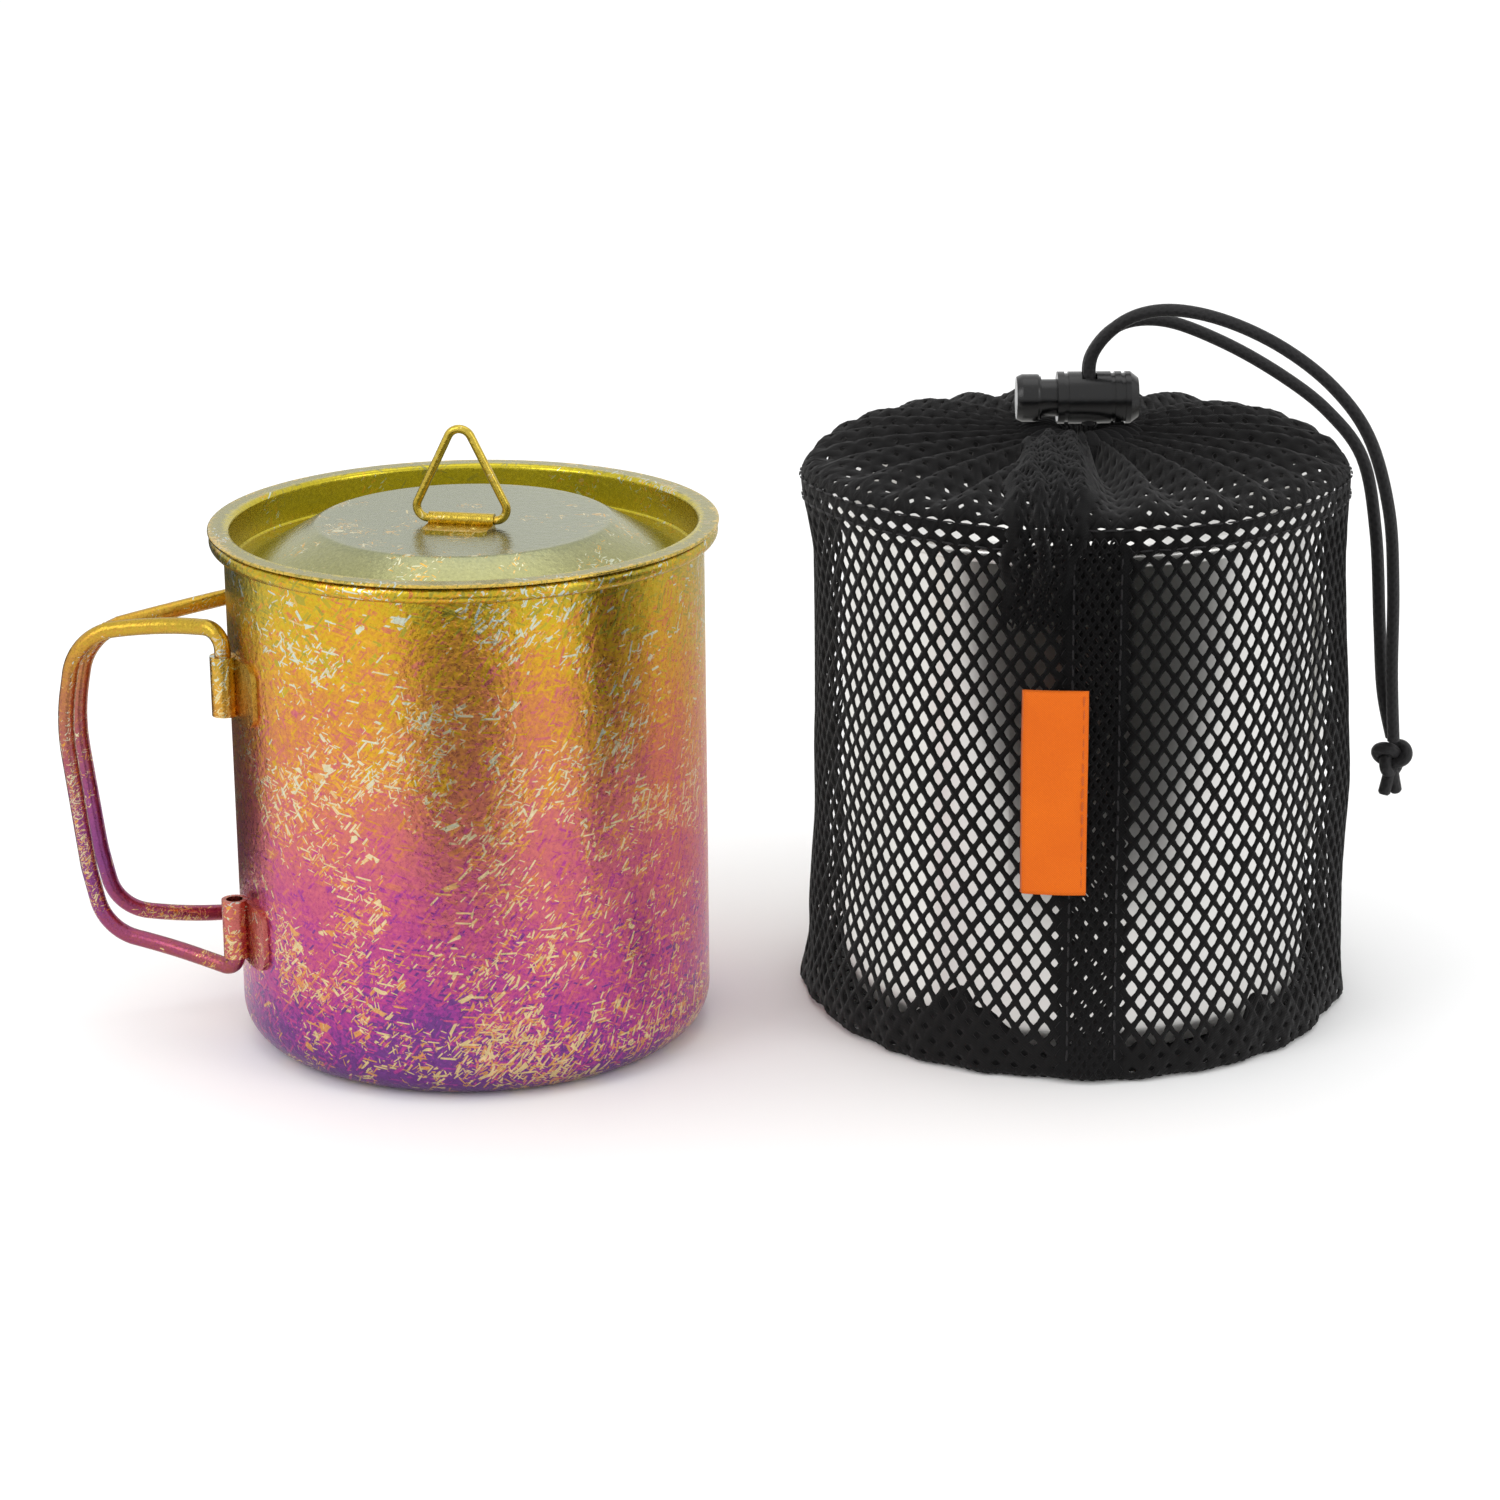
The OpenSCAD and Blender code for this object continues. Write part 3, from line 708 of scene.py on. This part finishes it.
def net(name, cells, place, hole, mat, thick, half=WIDE_HOLE, around=None):
    """Knitted net: one open diamond of yarn a cell. place(a, b) is in column and row counts and gives
    metres, and hole(a, b) scales the opening's width and height. around is the number of columns after
    which the net meets itself."""
    verts, faces, known = [], [], {}

    def normal(a, b, p):
        n = (place(a + 0.1, b) - p).cross(place(a, b + 0.1) - p)
        return n.normalized() if n.length > 1e-12 else Vector((0, 0, 1))

    def corner(qa, qb):
        key = (qa % (4 * around), qb) if around else (qa, qb)
        if key not in known:
            p = place(qa / 4, qb / 2)
            known[key] = len(verts)
            verts.append(p + normal(qa / 4, qb / 2, p) * YARN_RISE * MM)
        return known[key]

    for qa, qb in cells:
        a, b = qa / 4, qb / 2
        outer = [corner(qa + dx, qb + dy) for dx, dy in HOLE_RING]
        start = len(verts)
        w, h = hole(a, b)
        if w < SMALLEST_HOLE or h < SMALLEST_HOLE:
            verts.append(place(a, b))
            faces += [(outer[k], outer[(k + 1) % 8], start) for k in range(8)]
            continue
        da, db = 0.03 * rng.uniform(-1, 1), 0.06 * rng.uniform(-1, 1)
        for dx, dy in HOLE_EDGE:
            verts.append(place(a + dx * w * half[0] + da, b + dy * h * half[1] + db))
        faces += [(outer[k], outer[(k + 1) % 8], start + (k + 1) % 8, start + k) for k in range(8)]
    obj = add_mesh(name, verts, faces, mat)
    thicken(obj, thick, -1)
    return obj


def strip(name, place, n_u, n_v, mat, thick, closed=True):
    """Plain cloth over a grid: place(u, v) with u round or along and v across, 0 to 1."""
    w = n_u if closed else n_u + 1
    verts = [place(i / n_u, j / n_v) for j in range(n_v + 1) for i in range(w)]
    faces = []
    for j in range(n_v):
        for i in range(n_u):
            k = (i + 1) % w
            faces.append((j * w + i, j * w + k, (j + 1) * w + k, (j + 1) * w + i))
    obj = add_mesh(name, verts, faces, mat)
    thicken(obj, thick, 0)
    return obj


def declare(obj, node):
    obj.visible_glossy = False
    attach(obj, "bag")
    if node:
        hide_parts(node)


# ---- wall and top ----

COLUMNS = 90
ROW = 2.35
WALL_ROWS = 42
ROWS = int(profile_lengths[-1] / ROW)
MOUTH_R = 9
SEAM_HOLES = (-6.5, 5.6)       # the part of the wall behind the seam band
# Rows at the shoulder, from the top: above this height, a hole's width and height.
SHOULDER_ROWS = [(97, 0.55, 0.38), (94.2, 1.15, 0.30), (91.5, 1.1, 0.5)]


def wall_place(a, b):
    return bag_point(TURN * a / COLUMNS, b * ROW)


def wall_hole(a, b):
    """The net closes up at the mouth, the seam, the shoulder and the bottom edge."""
    angle = TURN * a / COLUMNS
    r, z = along_profile(b * ROW)
    if r < MOUTH_R:
        return 0, 0
    x = front_x(angle)
    w = h = 1.0 + 0.05 * wave(angle, z, 9, 6.0)
    if SEAM_HOLES[0] < x < SEAM_HOLES[1]:
        w, h = 0.62 * w, 0.55 * h
    for above, wide, high in SHOULDER_ROWS:
        if z > above:
            w, h = wide * w, high * h
            break
    if z < 6 + 5 * bell(x, -24, 12) + 3 * bell(x, 30, 9):
        w, h = 0.7 * w, 0.45 * h
    return w, h


wall_net = net("bag_wall_net", net_cells(COLUMNS, range(WALL_ROWS)), wall_place, wall_hole, net_mat,
               0.38, around=COLUMNS)
top_net = net("bag_top_net", net_cells(COLUMNS, range(WALL_ROWS, ROWS)), wall_place, wall_hole,
              net_mat, 0.38, around=COLUMNS)
declare(wall_net, "bag_wall")
declare(top_net, "bag_wall")


# ---- base and its folded seam ----

BASE_COLUMNS, BASE_ROWS = 29, 41
BASE_COLUMN = 3.3              # width of a column of the base net, in mm
BASE_R = 44.6


def base_xy(a, b):
    return (a - BASE_COLUMNS // 2) * BASE_COLUMN, (b - BASE_ROWS // 2) * ROW


def base_place(a, b):
    p = Vector((*base_xy(a, b), 0))
    if p.length > BASE_R:
        p *= BASE_R / p.length
    return at_bag(p.x, -p.y, 0.5 + 0.12 * noise.noise(p * 0.15))


def base_fold(u, v):
    """Seam allowance bunched inside the bottom edge."""
    a = TURN * u
    x = front_x(a)
    tall = 3.6 + 8.5 * bell(x, -25, 9) + 4.5 * bell(x, 31, 8) + 3.0 * wave(a, 0, 6, 9.1)
    tall += 1.0 * math.sin(23 * a + 5 * wave(a, 0, 3, 2.1)) + 2.2 * wave(a, 0, 17, 3.6)
    z = 0.7 + v * max(tall, 2.0)
    r = 45.1 + 0.5 * math.sin(41 * a + 3 * v) + 0.6 * wave(a, z * 6, 7, 2.2) - 0.8 * v
    return at_bag(r * math.cos(a), r * math.sin(a), z)


base_cells = [(qa, qb) for qa, qb in net_cells(BASE_COLUMNS, range(BASE_ROWS))
              if math.hypot(*base_xy(qa / 4, qb / 2)) < BASE_R + 0.2]
base_net = net("bag_base_net", base_cells, base_place, lambda a, b: (0.9, 0.9), net_mat, 0.38)
declare(base_net, "bag_base")
fold = strip("bag_base_fold", base_fold, 420, 8, cloth_mat, 0.35)
declare(fold, None)


# ---- hem ----

HEM_R, HEM_Z = 7.2, 101.5
HEM_TOP = 103.38               # just under the cord lock, which flattens the hem


def hem_collar(u, v):
    """The stitched mouth drawn into a tight pleated ring round its cord."""
    a = TURN * u
    w = TURN * v
    pleat = math.sin(pleat_phase(a))
    wide = 2.3 + 1.5 * pleat + 0.3 * wave(a, 0, 5, 3.3)
    high = 1.35 + 0.5 * pleat if math.sin(w) > 0 else 2.9 + 2.2 * pleat
    r = HEM_R + wide * math.cos(w)
    z = HEM_Z + high * math.sin(w)
    a += 0.05 * math.sin(w)
    return at_bag(r * math.cos(a), r * math.sin(a), min(z, HEM_TOP))


collar = strip("bag_hem_gather", hem_collar, 520, 28, cloth_mat, 0.3)
declare(collar, "bag_hem")


# ---- seam band and the bunched cloth at its head ----

BAND_LEFT, BAND_RIGHT = -5.2, 4.4
BAND_COLUMNS, BAND_ROWS = 6, 74
BAND_LOW, BAND_ROW = 2.5, 1.25
BUNCH_COLUMNS, BUNCH_ROWS = 8, 44
BUNCH_LOW, BUNCH_LONG = 80.5, 54.0


def hole_inside(columns, size):
    """Holes of one size, with none along the two sides of a narrow net."""
    return lambda a, b: size if 0.5 < a < columns - 0.5 else (0, 0)


def band_place(a, b):
    x = BAND_LEFT + (BAND_RIGHT - BAND_LEFT) * a / BAND_COLUMNS
    v = BAND_LOW + b * BAND_ROW
    x += 0.8 * rumple(v * 0.045, x * 0.02, 1.0) + 0.4 * rumple(v * 0.2, x * 0.1, 7.0)
    edge = 0.0 if 0.3 < a < BAND_COLUMNS - 0.3 else -0.25
    return seam_point(x, v, 0.75 + 0.35 * rumple(x * 0.35, v * 0.16, 4.0) + edge)


def bunch_place(a, b):
    """Loose cloth at the head of the seam, drawn up over the shoulder into the mouth."""
    f = b / BUNCH_ROWS
    v = BUNCH_LOW + BUNCH_LONG * f
    r, z = along_profile(v)
    r0, z0 = along_profile(v - 0.6)
    r1, z1 = along_profile(v + 0.6)
    out = Vector((z1 - z0, r0 - r1)).normalized()
    across = a / BUNCH_COLUMNS * 2 - 1
    wide = 4.4 + 2.6 * bell(f, 0.45, 0.35)
    x = -10.5 + 6.0 * f + across * wide
    x += 2.0 * rumple(across * 0.9, v * 0.15, 3.0)
    folds = 0.8 * math.sin(1.7 * x + 4 * rumple(x * 0.05, v * 0.09, 5.0))
    folds += 1.5 * rumple(x * 0.35, v * 0.2, 8.0)
    middle = 1 - across ** 4
    ends = min(1.0, 6 * f, 8 * (1 - f))
    deep = pleat_depth(r) if v > 100 else 0.0
    lift = 0.5 + (1.5 + folds) * middle * ends
    lift += deep * (0.45 + 0.6 * middle) * min(1.0, 0.35 + 6 * (1 - f))
    r += out.x * lift
    z += out.y * lift
    return at_bag(x, -math.sqrt(max(r * r - x * x, 1.0)), z)


band = net("bag_seam_band_net", net_cells(BAND_COLUMNS, range(BAND_ROWS), True), band_place,
           hole_inside(BAND_COLUMNS, (0.24, 0.50)), cloth_mat, 0.4, DENSE_HOLE)
declare(band, "bag_seam_band")
bunch = net("bag_front_bunch", net_cells(BUNCH_COLUMNS, range(BUNCH_ROWS), True), bunch_place,
            hole_inside(BUNCH_COLUMNS, (0.17, 0.36)), cloth_mat, 0.35, DENSE_HOLE)
declare(bunch, None)


# ---- label ----

LABEL_LEFT, LABEL_WIDE = -12.2, 10.6
LABEL_LOW, LABEL_HIGH = 33.8, 35.4
LABEL_FOLD = 0.08              # the rounded part of the fold, against half the ribbon


def label_place(u, v):
    """A ribbon folded at its left edge, both ends sewn into the seam band."""
    t = u * 2 - 1
    x = LABEL_LEFT + LABEL_WIDE * abs(t)
    if abs(t) < LABEL_FOLD:
        x -= 0.25 * (1 - (t / LABEL_FOLD) ** 2)
    belly = 0.55 * (1 - abs(t) ** 3)
    lift = 1.35 + (belly if t < 0 else -belly * 0.4)
    lift += 0.12 * math.sin(v * 9 + 0.7)
    return seam_point(x, LABEL_LOW + LABEL_HIGH * v, lift)


label = strip("bag_label_ribbon", label_place, 44, 40, label_mat, 0.22, closed=False)
declare(label, "bag_label")


# ---- stitches ----

STITCH_SIDES = 6
# A thread's rings: place along it from -0.5 to 0.5, and thickness.
STITCH_RINGS = [(-0.5, 0.35), (-0.4, 0.85), (0.0, 1.0), (0.4, 0.85), (0.5, 0.35)]


def stitches(name, path, count, long, radius, mat):
    """A row of short raised threads; path(t) gives a point, t from 0 to 1."""
    verts, faces = [], []
    sides = STITCH_SIDES
    for k in range(count):
        t = (k + 0.5) / count
        middle = path(t)
        ahead = (path(min(t + 0.002, 1)) - path(max(t - 0.002, 0))).normalized()
        slant = Vector((rng.uniform(-1, 1), rng.uniform(-1, 1), rng.uniform(-1, 1)))
        ahead = (ahead + 0.08 * slant).normalized()
        side = ahead.orthogonal().normalized()
        up = ahead.cross(side)
        start = len(verts)
        for f, r in STITCH_RINGS:
            c = middle + ahead * f * long * MM
            for s in range(sides):
                w = TURN * s / sides
                verts.append(c + (side * math.cos(w) + up * math.sin(w)) * r * radius * MM)
        for i in range(len(STITCH_RINGS) - 1):
            q = start + i * sides
            for s in range(sides):
                t = (s + 1) % sides
                faces.append((q + s, q + t, q + sides + t, q + sides + s))
        last = len(verts) - sides
        faces.append(tuple(start + s for s in range(sides))[::-1])
        faces.append(tuple(last + s for s in range(sides)))
    obj = add_mesh(name, verts, faces, mat)
    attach(obj, "bag")


for side, x in (("left", -4.3), ("right", 3.5)):
    stitches(f"stitch_band_{side}", lambda t: seam_point(x, 4 + 88 * t, 0.95), 34, 1.9, 0.17,
             thread_mat)
for side, v in (("low", 92.6), ("high", 96.2)):
    stitches(f"stitch_hem_{side}", lambda t: bag_point(TURN * t, v, 0.3), 96, 2.1, 0.18, thread_mat)
stitches("stitch_label", lambda t: seam_point(-2.4, 34.6 + 34 * t, 1.62), 15, 1.7, 0.15, label_thread)


# ---- studio (metres) ----

FLOOR_HALF, FLOOR_Z = 9.0, -0.00005
FLAT_Z = 0.0005
GAP_POT, GAP_BAG = 0.0450, 0.0465
GAP_BACK, GAP_FRONT, GAP_LEAN = 0.056, -0.023, 0.0100
CARD_BAG_Y, CARD_TOP_Y = -0.060, -0.040


def upright(start, end, low, high):
    """Corners of an upright card between two places on the floor."""
    return [(*start, low), (*end, low), (*end, high), (*start, high)]


def gap_card(x):
    """Corners of an upright card between the two pieces, with its back edge at x."""
    return upright((x, GAP_BACK), (x + GAP_LEAN, GAP_FRONT), 0.001, 0.098)


# Cards seen only in reflections: dark ones for the soft bands, pale ones that keep the two pieces
# from mirroring each other.
DARK_CARDS = {
    "card_front": [(-0.050, -0.150, FLAT_Z), (0.055, -0.150, FLAT_Z), (0.175, -0.47, FLAT_Z),
                   (-0.19, -0.47, FLAT_Z)],
    "card_left": [(-0.027, 0.084, FLAT_Z), (-0.129, 0.025, FLAT_Z), (-0.47, 0.19, 0.13),
                  (-0.02, 0.46, 0.13)],
    "card_bag": upright((0.067, CARD_BAG_Y), (0.160, CARD_BAG_Y), 0.018, 0.106),
    "card_bag_top": [(x, CARD_TOP_Y, z) for x, z in (
        (0.084, 0.034), (0.132, 0.034), (0.200, 0.066), (0.200, 0.104), (0.018, 0.104))],
}
PALE_CARDS = {
    "card_gap": (gap_card(GAP_POT), "pot_glow", 0.46),
    "card_gap_bag": (gap_card(GAP_BAG), "bag_glow", 0.95),
}
# Place, target, width and height, and watts.
LIGHTS = {
    "key": ((-0.75, -0.65, 0.75), (0, 0, 0.05), (0.45, 0.7), 2.6),
    "fill": ((0.95, -0.55, 0.6), (0.05, 0, 0.05), (0.35, 0.7), 1.6),
    "top": ((0.05, 0.15, 1.1), (0.05, 0, 0), (0.9, 0.7), 1.6),
}
WORLD_LIGHT = 1.08


def floor_paper():
    m = Mat("floor_paper")
    p = m.coords()
    tone = m.mix(m.noise(p, 4.0), col(247, 247, 247), col(250, 250, 250))
    m.set(Base_Color=tone, Roughness=0.75, Specular_IOR_Level=0.0)
    m.set(Normal=m.bump(m.noise(p, 900.0, 3.0), 0.03, 0.0002))
    return m.mat


def dark_card():
    m = Mat("dark_card")
    m.set(Base_Color=col(52, 53, 50), Roughness=0.9)
    return m.mat


def pale_card(name, power):
    m = Mat(name)
    m.set(Base_Color=col(200, 200, 198), Roughness=0.9)
    m.set(Emission_Color=(1.0, 0.99, 0.97, 1.0), Emission_Strength=power)
    return m.mat


def add_card(name, corners, mat):
    card = add_mesh(name, corners, [tuple(range(len(corners)))], mat, smooth=False)
    card.visible_camera = False
    card.visible_shadow = False
    card.visible_diffuse = False


def add_light(name, place, target, size, power):
    light = bpy.data.lights.new(name, "AREA")
    light.shape = "RECTANGLE"
    light.size, light.size_y = size
    light.energy = power
    obj = bpy.data.objects.new(name, light)
    scene.collection.objects.link(obj)
    obj.location = place
    obj.rotation_euler = (Vector(target) - Vector(place)).to_track_quat("-Z", "Y").to_euler()


def add_stage():
    s, z = FLOOR_HALF, FLOOR_Z
    corners = [(-s, -s, z), (s, -s, z), (s, s, z), (-s, s, z)]
    floor = add_mesh("floor", corners, [(0, 1, 2, 3)], floor_paper(), smooth=False)
    dark = dark_card()
    for name, corners in DARK_CARDS.items():
        add_card(name, corners, dark)
    for name, (corners, glow, power) in PALE_CARDS.items():
        add_card(name, corners, pale_card(glow, power))

    world = bpy.data.worlds.new("studio")
    scene.world = world
    world.use_nodes = True
    background = world.node_tree.nodes["Background"]
    background.inputs["Color"].default_value = (1.0, 1.0, 1.0, 1.0)
    background.inputs["Strength"].default_value = WORLD_LIGHT
    for name, light in LIGHTS.items():
        add_light(name, *light)
    scene.view_settings.view_transform = "Standard"
    scene.view_settings.look = "None"


add_stage()
